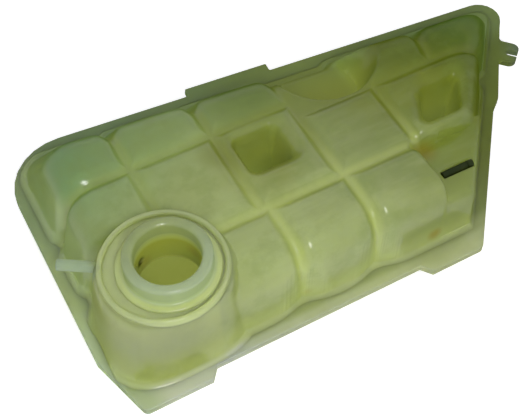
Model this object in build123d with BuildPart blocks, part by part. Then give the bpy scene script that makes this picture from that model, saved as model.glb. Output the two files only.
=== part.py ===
from build123d import *
from math import cos, pi, radians, sin, tan
import os

# Coolant expansion tank: two translucent halves welded at a flange, sizes in millimetres
# X runs along the straight front edge, Y to the back, Z up, the bottom at Z = 0

# Heights
weld_z = 32.0
lip = 2.5
wall = 2.8
cell_top = 50.0
groove = 5.5
shelf_top = 36.0
neck_top = 69.0

# Plan of the weld flange
left_x = -180.5
front_y = -93.0
back_y = 103.0
back_tilt = 5.0
right_foot_x = 56.5
right_angle = 50.5
ledge = 9.5
back_left_r = 38.0
back_right_r = 14.0

# Filler neck on its pedestal
neck_x = -130.0
neck_y = -55.5
neck_r = 24.0
bore_r = 18.0
collar_x = -132.3
collar_y = -54.3
neck_foot = 57.0
skirt_foot = 47.0
step_r = 28.5
step_top = 58.5
collar_r = 35.5
collar_top = 59.5
collar_w = 2.4
collar_inset = 1.4
rim = 1.6
pedestal_r = 44.5
pedestal_front = 34.5
pedestal_round = 12.0

# Quilted cells
back_columns = (-119.0, -67.0, -15.0, 37.0)
front_columns = (-110.0, -62.0, -13.0, 36.0)
middle_y = -41.5
back_row_depth = 83.0
block_row_step = 11.0
divide_x = 80.0
divide_shift = 14.0
seam = 2.0
front_lean = 2.5
left_lean = 11.0
back_lean = 37.0
right_lean = 9.0
edge_r = 6.5
core_margin = 1.2
sharp_edge_r = 5.0
brow_r = 19.0
left_corner_r = 18.0
right_corner_r = 13.0
sharp_brow_r = 12.0
bed_inset = 4.0
shelf_x = 20.0
shelf_back = -34.0
shelf_lean = 2.0

# Tie pockets, back scoop, moulding mark
pocket_draft = 9.0
pocket_r = 5.0
pocket_flare = 36.0
pocket_mouth = 5.0
square_pocket_x = -44.0
square_pocket_in = 21.5
square_pocket_half = (15.5, 15.0)
skew_pocket_x = 69.0
skew_pocket_in = 27.5
skew_pocket_half = (15.0, 13.0)
skew = 0.52
scoop_x = 22.0
scoop_in = 24.0
scoop_r = 35.0
scoop_floor = 16.0
scoop_draft = 17.0
mark_x = -1.0
mark_in = 25.5
mark_r = 5.5
mark_depth = 0.6

# Flange ears, tab and lug
ear_y = -99.5
ear_turn_y = -60.5
ear_r = 4.0
ear_left_x = -169.0
ear_end_x = -128.5
ear_step_x = -123.0
right_ear_x = 11.0
right_ear_step_x = 16.0
tab_x = -50.0
tab_length = 59.0
tab_out = 6.5
swell_y = -15.0
swell_tail = 33.0
swell_out = 2.5
swell_run = 11.0
lug_y = 28.0
lug_turn = -8.0
lug_w = 18.0
lug_out = 13.5
lug_r = 5.0
lug_slot_w = 5.5
lug_slot_depth = 8.5

# Overflow tube from the neck to the left edge
overflow_angle = 147.5
overflow_z = 51.6
overflow_r = 3.2
overflow_bore_r = 1.6
overflow_reach = 60.0

# Lower half
tray_draft = 4.0
tray_corner_r = 17.0
tray_edge = 9.0
post_half = 15.0
nipple_x = -96.0
nipple_z = 15.0
nipple_r = 8.0
nipple_bore_r = 5.5
nipple_out = 5.0
bead_r = 9.0
bead_w = 4.0

# Dark pin in its trough on the shelf
pin_x = 41.5
pin_y = -62.5
pin_r = 2.3
pin_length = 21.0
pin_rise = 0.9
pin_neck = 4.5
pin_neck_w = 0.9
pin_neck_depth = 0.5

left_wall = left_x + ledge
front_wall = front_y + ledge
back_row_y = back_y - back_row_depth
block_row_y = back_row_y - block_row_step
square_pocket = (square_pocket_x, back_row_y - square_pocket_in, *square_pocket_half, 0)
skew_pocket = (skew_pocket_x, block_row_y - skew_pocket_in, *skew_pocket_half, skew)
scoop_y = back_row_y + scoop_in
mark_y = block_row_y - mark_in


def inset(points, amounts):
    """The outline with each side moved inward by its own amount; the points run anticlockwise."""
    sides = []
    for start, end, amount in zip(points, points[1:] + points[:1], amounts):
        along = (Vector(*end) - Vector(*start)).normalized()
        sides.append((Vector(*start) + Vector(-along.Y, along.X) * amount, along))
    corners = []
    for (p, d), (q, e) in zip(sides[-1:] + sides[:-1], sides):
        reach = ((q.X - p.X) * e.Y - (q.Y - p.Y) * e.X) / (d.X * e.Y - d.Y * e.X)
        corners.append((p.X + d.X * reach, p.Y + d.Y * reach))
    return corners


def back_at(x):
    """The back edge of the flange, which comes nearer to the front toward the right."""
    return back_y - tan(radians(back_tilt)) * (x - left_x)


def right_at(y):
    """The oblique right edge of the flange."""
    return right_foot_x + (y - front_y) / tan(radians(right_angle))


def back_wall(x):
    """The foot of the back wall, one ledge inside the flange."""
    return back_at(x) - ledge / cos(radians(back_tilt))


def right_wall(y):
    """The foot of the right wall, one ledge inside the flange."""
    return right_at(y) - ledge / sin(radians(right_angle))


def meeting(inside):
    """The point where the back and right edges meet, moved inward from both by the given distance."""
    slope = tan(radians(back_tilt))
    lean = 1 / tan(radians(right_angle))
    start = right_at(front_y) - inside / sin(radians(right_angle))
    level = back_y - inside / cos(radians(back_tilt))
    y = (level - slope * (start - left_x - front_y * lean)) / (1 + slope * lean)
    return (start + (y - front_y) * lean, y)


def middle(points, side):
    """The middle of one side of an outline."""
    return (Vector(*points[side]) + Vector(*points[(side + 1) % len(points)])) * 0.5


def pillow(foot, leans, top, brows, large_r, small_r, skin):
    """A raised cell on its foot at the weld plane, each side leaning in by its own amount.

    The brows are the sides rounded large on top, each with the radius of the upright edge at its end.
    The other sides are rounded small outside and plain inside, where they stand further in to keep the wall.
    """
    count = len(foot)
    margin = core_margin if skin and small_r else 0
    base = inset(foot, [skin if side in brows else skin + margin for side in range(count)])
    crown = inset(base, [lean * (top - skin) / top for lean in leans])
    crown_level = Vector(0, 0, weld_z + top - skin)
    with BuildPart() as body:
        with BuildSketch(Plane.XY.offset(weld_z)):
            Polygon(*base, align=None)
        extrude(amount=top - skin)
        for start, end, lean in zip(base, base[1:] + base[:1], leans):
            along = (Vector(*end) - Vector(*start)).normalized()
            flank = Plane(origin=(*start, weld_z), x_dir=along, z_dir=(along.Y, -along.X, lean / top))
            split(bisect_by=flank, keep=Keep.BOTTOM)
        for side, turn_r in brows.items():
            if turn_r:
                upright = body.edges().filter_by(lambda edge: abs(edge.tangent_at(0.5).Z) > 0.5)
                turn = Vector(*crown[(side + 1) % count]) + crown_level
                fillet(upright.sort_by_distance(turn)[0], turn_r - skin)
        for side in brows:
            if (side - 1) % count not in brows:
                fillet(body.edges().sort_by_distance(middle(crown, side) + crown_level)[0], large_r - skin)
        rims = ShapeList()
        seam_corners = [k for k in range(count) if k not in brows and (k - 1) % count not in brows]
        plain = [Vertex(*base[k], weld_z) for k in seam_corners]
        for side in range(count):
            if small_r and not skin and side not in brows:
                halfway = Vector(0, 0, weld_z + top / 2)
                spot = (middle(base, side) + middle(crown, side)) * 0.5 + halfway
                flank = body.faces().sort_by_distance(spot)[0]
                for edge in flank.edges().filter_by_position(Axis.Z, weld_z + 1, weld_z + top + 1):
                    if all(edge.distance_to(corner) > seam for corner in plain):
                        rims.append(edge)
        if rims:
            fillet(rims, small_r)
    return body.part


def patch(x0, y0, x1, y1):
    """A rectangular foot between two corners."""
    return [(x0, y0), (x1, y0), (x1, y1), (x0, y1)]


def bodies(skin):
    """All raised bodies of the upper half, full for the outside or thinner by the wall for the hollow."""
    a, b, c, d = back_columns
    wall_corner = meeting(ledge)
    far_x = divide_x + divide_shift
    bed = cell_top - groove
    right_foot = right_wall(middle_y)
    block_foot = right_wall(block_row_y)
    seams = [seam, seam, seam, seam]
    rows = [
        (patch(left_wall, middle_y / 2, a, back_row_y),
         [seam, seam, seam, left_lean], cell_top, {3: 0}, brow_r, edge_r),
        (patch(a, middle_y, b, back_row_y), seams, cell_top, {}, brow_r, edge_r),
        (patch(b, middle_y, c, back_row_y), seams, cell_top, {}, brow_r, edge_r),
        (patch(c, middle_y, d, block_row_y), seams, cell_top, {}, brow_r, edge_r),
        ([(d, middle_y), (right_foot, middle_y), (block_foot, block_row_y), (d, block_row_y)],
         [seam, right_lean, seam, seam], cell_top, {1: 0}, brow_r, sharp_edge_r),
        ([(left_wall, back_row_y), (a, back_row_y), (a, back_wall(a)), (left_wall, back_wall(left_wall))],
         [seam, seam, back_lean, left_lean], cell_top, {2: left_corner_r, 3: 0}, brow_r, edge_r),
        ([(a, back_row_y), (b, back_row_y), (b, back_wall(b)), (a, back_wall(a))],
         [seam, seam, back_lean, seam], cell_top, {2: 0}, brow_r, edge_r),
        ([(b, back_row_y), (c, back_row_y), (c, back_wall(c)), (b, back_wall(b))],
         [seam, seam, back_lean, seam], cell_top, {2: 0}, brow_r, edge_r),
        ([(d, block_row_y), (divide_x, block_row_y), (far_x, back_wall(far_x)), (d, back_wall(d))],
         [seam, seam, back_lean, seam], cell_top, {2: 0}, brow_r, edge_r),
        ([(divide_x, block_row_y), (block_foot, block_row_y), wall_corner, (far_x, back_wall(far_x))],
         [seam, right_lean, back_lean, seam], cell_top, {1: right_corner_r, 2: 0}, sharp_brow_r, edge_r),
        ([(shelf_x, front_wall), (right_wall(front_wall), front_wall), (right_wall(shelf_back), shelf_back),
          (shelf_x, shelf_back)], [front_lean, shelf_lean, 0, 0], shelf_top, {}, brow_r, sharp_edge_r),
        (inset([(left_wall, middle_y), (right_foot, middle_y), wall_corner,
                (left_wall, back_wall(left_wall))], [bed_inset] * 4),
         [0, right_lean, back_lean, left_lean], bed,
         {1: right_corner_r, 2: left_corner_r, 3: 0}, sharp_brow_r, 0),
        (inset(patch(neck_x, front_wall, front_columns[-1], middle_y / 2), [bed_inset] * 4),
         [front_lean, 0, 0, 0], bed, {0: 0}, brow_r, 0),
    ]
    for start, end in zip(front_columns, front_columns[1:]):
        foot = patch(start, front_wall, end, middle_y)
        rows.append((foot, [front_lean, seam, seam, seam], cell_top, {0: 0}, brow_r, edge_r))
    return [pillow(*row, skin) for row in rows]


def pedestal(skin):
    """The cone that carries the filler neck, cut flat along the front wall."""
    with BuildPart() as body:
        with Locations((collar_x, collar_y, weld_z)):
            Cone(pedestal_r - skin, collar_r - skin, neck_foot - skin,
                 align=(Align.CENTER, Align.CENTER, Align.MIN))
        front = Plane(origin=(collar_x, collar_y - pedestal_front + skin, weld_z), z_dir=(0, -1, 0))
        split(bisect_by=front, keep=Keep.BOTTOM)
        cut_edges = body.edges().filter_by(lambda edge: abs(edge.tangent_at(0.5).Z) > 0.5)
        corners = cut_edges.filter_by_position(Axis.Y, collar_y - pedestal_r, collar_y - pedestal_r / 2)
        fillet(corners, pedestal_round - skin)
    return body.part


def pocket(spec, level, depth, corner_r, skin):
    """A tapered tie pocket with a flared mouth at its level, narrowing over its depth, down or up."""
    x, y, half_x, half_y, lean = spec
    throat = [(x - half_x - lean * half_y, y - half_y), (x + half_x - lean * half_y, y - half_y),
              (x + half_x + lean * half_y, y + half_y), (x - half_x + lean * half_y, y + half_y)]
    flare = pocket_mouth * (tan(radians(pocket_flare)) - tan(radians(pocket_draft)))
    mouth = pocket_mouth if depth > 0 else -pocket_mouth
    with BuildPart() as body:
        for grown, reach, taper in ((skin, depth, pocket_draft), (skin + flare, mouth, pocket_flare)):
            with BuildSketch(Plane.XY.offset(level)) as outline:
                Polygon(*inset(throat, [-grown] * 4), align=None)
                if corner_r:
                    fillet(outline.vertices(), corner_r)
            extrude(amount=reach, taper=taper)
    return body.part


def scoop(skin):
    """The round recess scooped out of the back slope."""
    depth = cell_top - scoop_floor + skin
    with BuildPart() as body:
        with Locations((scoop_x, scoop_y, weld_z + cell_top)):
            Cone(scoop_r - depth * tan(radians(scoop_draft)) + skin, scoop_r + skin, depth,
                 align=(Align.CENTER, Align.CENTER, Align.MAX))
    return body.part


def flange():
    """The outline of the weld flange with its ears, tab, swell and slotted lug."""
    tilt = Vector(1, 0).rotate(Axis.Z, -back_tilt)
    edge = Vector(1, 0).rotate(Axis.Z, right_angle)
    rise = Vector(-tilt.Y, tilt.X) * tab_out
    tab_start = Vector(tab_x, back_at(tab_x))
    tab_end = tab_start + tilt * tab_length
    swell_start = Vector(right_at(swell_y), swell_y)
    swell_full = swell_start + edge * swell_run + Vector(edge.Y, -edge.X) * swell_out
    swell_end = Vector(*meeting(0)) - edge * swell_tail
    back_left = (left_x, back_at(left_x))
    ear_tip = (ear_left_x, ear_y)
    right_ear_tip = (right_at(ear_y), ear_y)
    outline_points = [
        (left_x, ear_turn_y), ear_tip, (ear_end_x, ear_y), (ear_step_x, front_y), (right_ear_x, front_y),
        (right_ear_step_x, ear_y), right_ear_tip, swell_start, swell_full,
        swell_end, meeting(0), tab_end, tab_end + rise, tab_start + rise,
        tab_start, back_left,
    ]
    rounded = [(back_left, back_left_r), (meeting(0), back_right_r), (ear_tip, ear_r),
               (right_ear_tip, ear_r)]
    with BuildSketch() as outline:
        Polygon(*outline_points, align=None)
        for point, radius in rounded:
            fillet(outline.vertices().sort_by_distance(point)[0], radius)
        with Locations(Location((right_at(lug_y), lug_y, 0), (0, 0, right_angle - 90 + lug_turn))):
            RectangleRounded(lug_out * 2, lug_w, lug_r)
            with Locations((lug_out, 0)):
                SlotOverall(lug_slot_depth * 2, lug_slot_w, mode=Mode.SUBTRACT)
    return outline.sketch


def tray(skin):
    """The plain body of the lower half, drawn down from the weld plane with bevelled bottom edges."""
    foot = [(left_wall, front_wall), (right_wall(front_wall), front_wall), meeting(ledge),
            (left_wall, back_wall(left_wall))]
    with BuildPart() as body:
        with BuildSketch(Plane.XY.offset(weld_z)) as outline:
            Polygon(*inset(foot, [skin] * 4), align=None)
            fillet(outline.vertices(), tray_corner_r - skin)
        extrude(amount=skin - weld_z, taper=tray_draft)
        chamfer(body.edges().group_by(Axis.Z)[0], tray_edge - skin * tan(pi / 8))
    return body.part


overflow_axis = Plane(origin=(neck_x, neck_y, weld_z + overflow_z),
                      z_dir=(cos(radians(overflow_angle)), sin(radians(overflow_angle)), 0))
nipple_axis = Plane(origin=(nipple_x, back_wall(nipple_x), nipple_z),
                    z_dir=(sin(radians(back_tilt)), cos(radians(back_tilt)), 0))
pin_axis = Plane(origin=(pin_x, pin_y, weld_z + shelf_top + pin_rise - pin_r), z_dir=(1, 0, 0))
pocket_depth = cell_top - wall
post_depth = weld_z - wall
posts = [(x, y, post_half, post_half, lean) for x, y, _, _, lean in (square_pocket, skew_pocket)]

# Coolant space in the upper half
with BuildPart() as hollow:
    for body in bodies(wall):
        add(body)
    add(pedestal(wall))
    for spec in (square_pocket, skew_pocket):
        add(pocket(spec, weld_z + cell_top, -cell_top, 0, wall), mode=Mode.SUBTRACT)
    add(scoop(wall), mode=Mode.SUBTRACT)
    with BuildSketch(pin_axis.offset(-wall)):
        Circle(pin_r + wall)
    extrude(amount=pin_length + wall * 2, mode=Mode.SUBTRACT)

# Upper half: quilted shell, pedestal, pockets and lip
with BuildPart() as upper_half:
    for body in bodies(0):
        add(body)
    add(pedestal(0))
    for spec in (square_pocket, skew_pocket):
        add(pocket(spec, weld_z + cell_top, -pocket_depth, pocket_r, 0), mode=Mode.SUBTRACT)
    add(scoop(0), mode=Mode.SUBTRACT)
    with BuildSketch(Plane.XY.offset(weld_z)):
        add(flange())
    extrude(amount=lip)
    add(hollow.part, mode=Mode.SUBTRACT)
    with Locations((mark_x, mark_y, weld_z + cell_top)):
        Cylinder(mark_r, mark_depth, align=(Align.CENTER, Align.CENTER, Align.MAX), mode=Mode.SUBTRACT)
    with BuildSketch(pin_axis):
        Circle(pin_r)
    extrude(amount=pin_length, mode=Mode.SUBTRACT)
    with BuildSketch(Plane.XY.offset(weld_z + neck_foot)):
        with Locations((collar_x, collar_y)):
            Circle(collar_r - collar_inset)
            Circle(collar_r - collar_inset - collar_w, mode=Mode.SUBTRACT)
    extrude(amount=collar_top - neck_foot)
    with Locations((neck_x, neck_y, weld_z + neck_foot)):
        Hole(bore_r + wall / 2, depth=neck_foot - skirt_foot)
    with BuildSketch(Plane(origin=(neck_x, neck_y, weld_z), x_dir=(1, 0, 0), z_dir=(0, -1, 0))) as profile:
        with BuildLine():
            Polyline(
                (bore_r, skirt_foot), (bore_r + wall, skirt_foot), (bore_r + wall, neck_foot - wall),
                (step_r, neck_foot - wall), (step_r, step_top), (neck_r, step_top), (neck_r, neck_top),
                (bore_r, neck_top), close=True,
            )
        make_face()
        chamfer(profile.vertices().group_by(Axis.Y)[-1], rim)
    revolve(axis=Axis((neck_x, neck_y, weld_z), (0, 0, 1)))
    with BuildSketch(overflow_axis.offset(bore_r + wall / 2)):
        Circle(overflow_r)
    extrude(amount=overflow_reach - bore_r - wall / 2)
    with BuildSketch(overflow_axis.offset(bore_r - wall)):
        Circle(overflow_bore_r)
    extrude(amount=overflow_reach - bore_r + wall, mode=Mode.SUBTRACT)

# Lower half: plain tray, tie posts, feed nipple and lip
with BuildPart() as space:
    add(tray(wall))
    for spec in posts:
        add(pocket(spec, 0, weld_z, 0, wall), mode=Mode.SUBTRACT)

with BuildPart() as lower_half:
    add(tray(0))
    with BuildSketch(Plane.XY.offset(weld_z)):
        add(flange())
    extrude(amount=-lip)
    for spec in posts:
        add(pocket(spec, 0, post_depth, 0, 0), mode=Mode.SUBTRACT)
    with BuildSketch(nipple_axis.offset(-tray_edge)):
        Circle(nipple_r)
    extrude(amount=tray_edge + ledge + nipple_out)
    with BuildSketch(nipple_axis.offset(ledge + nipple_out - bead_w)):
        Circle(bead_r)
    extrude(amount=bead_w / 2)
    add(space.part, mode=Mode.SUBTRACT)
    with BuildSketch(nipple_axis.offset(-tray_edge)):
        Circle(nipple_bore_r)
    extrude(amount=tray_edge + ledge + nipple_out, mode=Mode.SUBTRACT)

# Dark pin pressed into its trough
with BuildPart() as sensor_pin:
    with BuildSketch(pin_axis):
        Circle(pin_r)
    extrude(amount=pin_length)
    with BuildSketch(pin_axis.offset(pin_length - pin_neck)):
        Circle(pin_r)
        Circle(pin_r - pin_neck_depth, mode=Mode.SUBTRACT)
    extrude(amount=pin_neck_w, mode=Mode.SUBTRACT)

os.makedirs("parts", exist_ok=True)
for name, half in (("upper_half", upper_half), ("lower_half", lower_half), ("sensor_pin", sensor_pin)):
    half.part.label = name
    export_step(half.part, f"parts/{name}.step")
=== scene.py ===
"""Coolant expansion tank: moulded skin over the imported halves, studio light and the photograph's camera.

Sizes of the tank are in millimetres, in the solids' frame. They become metres where a mesh or a node
takes them.
"""
import math

import bpy
import numpy as np
from mathutils import Matrix, Vector


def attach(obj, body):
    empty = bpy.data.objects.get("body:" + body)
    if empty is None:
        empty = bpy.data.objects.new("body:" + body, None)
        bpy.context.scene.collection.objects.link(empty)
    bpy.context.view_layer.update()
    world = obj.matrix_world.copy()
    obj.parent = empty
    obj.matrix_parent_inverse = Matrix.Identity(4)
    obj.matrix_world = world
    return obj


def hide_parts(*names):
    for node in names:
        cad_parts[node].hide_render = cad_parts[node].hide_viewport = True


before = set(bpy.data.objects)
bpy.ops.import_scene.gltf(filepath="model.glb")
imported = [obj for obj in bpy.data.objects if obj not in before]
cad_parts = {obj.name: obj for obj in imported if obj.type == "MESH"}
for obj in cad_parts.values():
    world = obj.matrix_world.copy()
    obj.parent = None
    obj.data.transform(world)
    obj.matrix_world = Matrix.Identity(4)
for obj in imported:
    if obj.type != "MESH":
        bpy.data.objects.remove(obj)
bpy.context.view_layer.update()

MM = 0.001

# Weld flange on the plan
WELD_Z = 32.0
LIP = 2.5
LIP_EDGE_ROUND = 0.55
LEFT_X = -180.5
FRONT_Y = -93.0
BACK_Y = 103.0
BACK_TILT = math.radians(5.0)
RIGHT_FOOT = 56.5
RIGHT_ANGLE = math.radians(50.5)
BACK_CORNER_ROUND = 38.0
EAR_Y = -99.5
LEFT_CUT_Y = -60.5
LEFT_EAR_X = (-169.0, -128.5, -123.0)
RIGHT_EAR_X = (11.0, 16.0)
TAB_X = -50.0
TAB_LENGTH = 59.0
TAB_DEPTH = 6.5
SWELL_Y = (-15.0, 45.0)
SWELL_RUN = 11.0
SWELL_OUT = 2.5
LUG_Y = 28.0
LUG_TURN = math.radians(8.0)
LUG_REACH = 13.5
LUG_HALF = 9.0
SLOT_HALF = 2.75
SLOT_FLOOR = 5.0
FLANGE_INSET = 9.0
FLANGE_RIGHT_INSET = 6.0
FLANGE_BACK_INSET = 12.0
FLANGE_INNER_CORNER = (134.0, 50.0)
FLANGE_INNER_ROUND = 10.0

# Upper walls: their feet on the plan, their leans over the full height and their rounds
LEDGE = 9.5
LEFT_WALL = LEFT_X + LEDGE
FRONT_WALL = FRONT_Y + LEDGE
LEFT_LEAN = 11.0
BACK_LEAN = 37.0
RIGHT_LEAN = 9.0
FRONT_LEAN = 2.5
BROW_ROUND = 19.0
END_ROUND = 6.5
BACK_LEFT_ROUND = 18.0
BACK_RIGHT_ROUND = 13.0
ROWS_CORNER_ROUND = 6.0
FRONT_CORNER_ROUND = 5.0
WALL = 2.4

# Quilted cells; here and below, heights count from the weld
CELL_TOP = 50.0
CELL_CROWN = 0.4
CROWN_SPAN = (5.0, 24.0)
SEAM_HALF = 4.5
SEAM_DEPTH = 4.5
SEAM_PULL = 4.0
MIDDLE_Y = -41.5
BACK_ROW_Y = 20.0
BLOCK_ROW_Y = 9.0
NECK_SEAM_Y = -20.0
NECK_BED_Y = MIDDLE_Y / 2.0
BACK_COLUMNS = (-119.0, -67.0, -15.0, 37.0)
FRONT_COLUMNS = (-110.0, -62.0, -13.0, 36.0)
CORNER_SEAM_X = (80.0, 94.0)
ROWS_FRONT_Y = -53.0
ROWS_NECK_Y = -39.0
ROWS_END_SPAN = (24.0, 32.0)
ROWS_NECK_SPAN = (-128.0, -112.0)
BELLY_SEAM = 4.2
BELLY_FOOT_SEAM = 7.0
BELLY_FOOT_HEIGHT = 20.0
BELLY_OVERLAP = 10.0

# Shelf with the pin's trough, and the shallow round mark on a cell
SHELF_TOP = 36.0
SHELF_ROUND = 5.0
SHELF_RIGHT_LEAN = 2.0
SHELF_START = (20.0, -34.0)
SHELF_BLEND = 2.5
TROUGH_CENTRE = (52.0, -62.5)
TROUGH_HALF = (10.2, 1.9)
TROUGH_EDGE = 1.2
TROUGH_DEPTH = 2.6
TROUGH_CLEAR = 2.0
MARK_CENTRE = (-1.0, -16.5)
MARK_RADII = (4.6, 6.2)
MARK_DEPTH = 0.7

# Tie pockets as (centre, half size, skew), their wall as (distance inside, height), and the scoop
POCKETS = (((-44.0, -1.5), (15.5, 15.0), 0.0), ((69.0, -18.5), (15.0, 13.0), 0.52))
POCKET_WALL = ((-30.0, 110.0), (-3.4, 50.5), (0.8, 44.5), (7.4, 2.8))
POCKET_CORNER = 6.0
POCKET_RIM = 8.5
SCOOP_CENTRE = (22.0, 44.0)
SCOOP_R = 35.0
SCOOP_TAPER = math.radians(17.0)
SCOOP_FLOOR = 16.0
SCOOP_RIM = 4.0
FULL_HOLLOW = 30.0

# Foot fillet between the walls and the flange, the reach of the painted glow along it, and the grid of the
# skin
FOOT_BASE = 2.3
FOOT_RISE = 3.2
FOOT_REACH = 3.6
FOOT_EDGE_SPAN = (3.0, 7.0)
FOOT_GLOW_OUT = 0.5
FOOT_GLOW_REACH = 2.2
SKIN_LOW = 1.9
SKIN_MARGIN = 4.5
SKIN_FRONT_GAP = 0.6
SKIN_FRONT_BAND = 15.0
SKIN_LEAST_RISE = 0.001
SHARP_ANGLE = math.radians(38.0)

# Pedestal, filler neck, ring and overflow tube; profiles are ((radius, height), round) pairs
NECK = (-130.0, -55.5)
COLLAR = (-132.3, -54.3)
PEDESTAL_TOP = 57.0
PEDESTAL_FOOT_R = 45.0
PEDESTAL_LEAN = 8.0
PEDESTAL_FRONT_LEAN = 1.0
PEDESTAL_SHOULDER = 7.0
PEDESTAL_FRONT = 35.6
PEDESTAL_CORNER = 12.0
PEDESTAL_BLEND = 5.0
PEDESTAL_LOW_BLEND = 9.0
PEDESTAL_LOW_SPAN = (30.0, 44.0)
SKIN_OPENING_R = 20.5
NECK_PROFILE = (
    ((18.0, 38.0), 0.6), ((20.8, 38.0), 0.6), ((20.8, 53.0), 0.0), ((28.5, 53.0), 0.0),
    ((28.5, 58.5), 1.2), ((24.0, 58.5), 1.0), ((24.0, 69.0), 2.0), ((18.0, 69.0), 2.2),
)
RING_PROFILE = (((32.2, 54.0), 0.0), ((35.1, 54.0), 0.0), ((35.1, 59.3), 1.4), ((32.2, 59.3), 1.4))
TUBE_PROFILE = (((1.6, 17.2), 0.0), ((3.2, 19.4), 0.0), ((3.2, 60.0), 0.6), ((1.6, 60.0), 0.3))
UP = (0.0, 0.0, 1.0)
NECK_SEGMENTS = 128
TUBE_SEGMENTS = 28
OVERFLOW_WAY = math.radians(147.5)
OVERFLOW_HEIGHT = 51.6
OVERFLOW_R = 1.9
OVERFLOW_ENDS = ((14.8, math.radians(104.0), 46.2), (34.0, OVERFLOW_WAY, OVERFLOW_HEIGHT))

# Values for a place where a form isn't: a height below the weld, and a distance outside a foot
NO_HEIGHT = -20.0
FAR_OUT = -50.0


def smooth_step(low, high, value):
    """A soft ramp from 0 at low to 1 at high: three t squared minus two t cubed."""
    t = np.clip((value - low) / (high - low), 0.0, 1.0)
    return t * t * (3.0 - 2.0 * t)


def soft_min(a, b, width):
    """The lesser of two heights, rounded at their crease: lowered by width times t times one minus t."""
    t = np.clip(0.5 + 0.5 * (b - a) / width, 0.0, 1.0)
    return b + (a - b) * t - width * t * (1.0 - t)


def soft_max(a, b, width):
    """The greater of two heights with a concave blend: the soft lesser of their opposites, turned over."""
    return -soft_min(-a, -b, width)


def round_corner(a, b, radius):
    """Distance inside two walls whose corner is rounded: the lesser, or that to the corner's arc."""
    arc = radius - np.hypot(np.clip(radius - a, 0.0, None), np.clip(radius - b, 0.0, None))
    return np.where((a < radius) & (b < radius), arc, np.minimum(a, b))


def wall_rise(inward, lean, top, radius):
    """Height of a leaning wall by the distance inward: a straight rise, an arc, then the flat top."""
    angle = np.arctan2(top, lean)
    reach = radius * np.tan(angle / 2.0)
    arc_start = lean - reach * np.cos(angle)
    arc_end = lean + reach
    arc = top - radius + np.sqrt(np.clip(radius ** 2 - (arc_end - inward) ** 2, 0.0, None))
    rise = np.where(inward < arc_start, inward * top / lean, arc)
    return np.where(inward > arc_end, top, rise)


def wall_run(level, lean, top, radius):
    """How far inward a leaning wall stands at a level, its rise reversed: a straight run, then an arc."""
    angle = np.arctan2(top, lean)
    reach = radius * np.tan(angle / 2.0)
    above = np.clip(level - (top - radius), 0.0, radius)
    arc = lean + reach - np.sqrt(np.clip(radius ** 2 - above ** 2, 0.0, None))
    arc_level = (lean - reach * np.cos(angle)) * top / lean
    return np.where(level < arc_level, level * lean / top, arc)


def risen(inside_at, top):
    """The highest level whose outline still holds the point, found by halving the span 16 times."""
    low = np.zeros(np.shape(top))
    high = np.array(top, float)
    for _ in range(16):
        level = 0.5 * (low + high)
        within = inside_at(level) > 0.0
        low = np.where(within, level, low)
        high = np.where(within, high, level)
    return np.where(inside_at(np.zeros(np.shape(top))) > 0.0, low, NO_HEIGHT)


def back_edge(x):
    """Back edge of the flange: a line that its tilt brings nearer to the front toward the right."""
    return BACK_Y - np.tan(BACK_TILT) * (x - LEFT_X)


def back_wall(x):
    """Foot of the back wall, a ledge inside the back edge."""
    return back_edge(x) - LEDGE / np.cos(BACK_TILT)


def right_edge(y):
    """Oblique right edge of the flange: a straight line from its foot at the front."""
    return RIGHT_FOOT + (y - FRONT_Y) / np.tan(RIGHT_ANGLE)


def right_wall(y):
    """Foot of the oblique right wall, a ledge inside the right edge."""
    return right_edge(y) - LEDGE / np.sin(RIGHT_ANGLE)


def back_right_corner(back_y, right_x):
    """Where a line along the back meets one along the right, each given by its crossing of the axes."""
    slope = math.tan(BACK_TILT)
    lean = 1.0 / math.tan(RIGHT_ANGLE)
    y = (back_y - slope * right_x) / (1.0 + slope * lean)
    return right_x + y * lean, y


def seam_distance(x, y):
    """Distance to the nearest seam between two cells: the least of those to straight runs on the plan.

    The scoop's bed and the place beside the neck count as seams of their whole width.
    """
    first, second, third, fourth = BACK_COLUMNS
    near_x, far_x = CORNER_SEAM_X
    runs = [
        (first, NECK_SEAM_Y, first, back_wall(first)),
        *[(column, MIDDLE_Y, column, back_wall(column)) for column in (second, third, fourth)],
        (LEFT_WALL, BACK_ROW_Y, third, BACK_ROW_Y),
        (third, BLOCK_ROW_Y, right_wall(BLOCK_ROW_Y), BLOCK_ROW_Y),
        (near_x, BLOCK_ROW_Y, far_x, back_wall(far_x)),
        (FRONT_COLUMNS[0], MIDDLE_Y, FRONT_COLUMNS[3], MIDDLE_Y),
        *[(column, FRONT_WALL, column, MIDDLE_Y) for column in FRONT_COLUMNS[1:3]],
    ]
    bed = np.hypot(np.maximum(np.maximum(third - x, x - fourth), 0.0), np.maximum(BLOCK_ROW_Y - y, 0.0))
    beside_neck = np.hypot(np.maximum(x - first, 0.0), np.maximum(y - NECK_BED_Y, 0.0))
    nearest = np.minimum(bed, beside_neck)
    for x0, y0, x1, y1 in runs:
        dx, dy = x1 - x0, y1 - y0
        along = np.clip(((x - x0) * dx + (y - y0) * dy) / (dx * dx + dy * dy), 0.0, 1.0)
        nearest = np.minimum(nearest, np.hypot(x - x0 - along * dx, y - y0 - along * dy))
    return nearest


def pocket_depth(x, y, centre, half, skew):
    """Height of a tie pocket's wall by the distance inside it: flared mouth, steep wall, flat floor.

    The throat is a rounded rectangle whose sides slant by the skew.
    """
    shear = math.cos(math.atan(skew))
    v = y - centre[1]
    u = (x - centre[0] - skew * v) * shear
    inside = round_corner(half[0] * shear - np.abs(u), half[1] - np.abs(v), POCKET_CORNER)
    return np.interp(inside, *zip(*POCKET_WALL))


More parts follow.
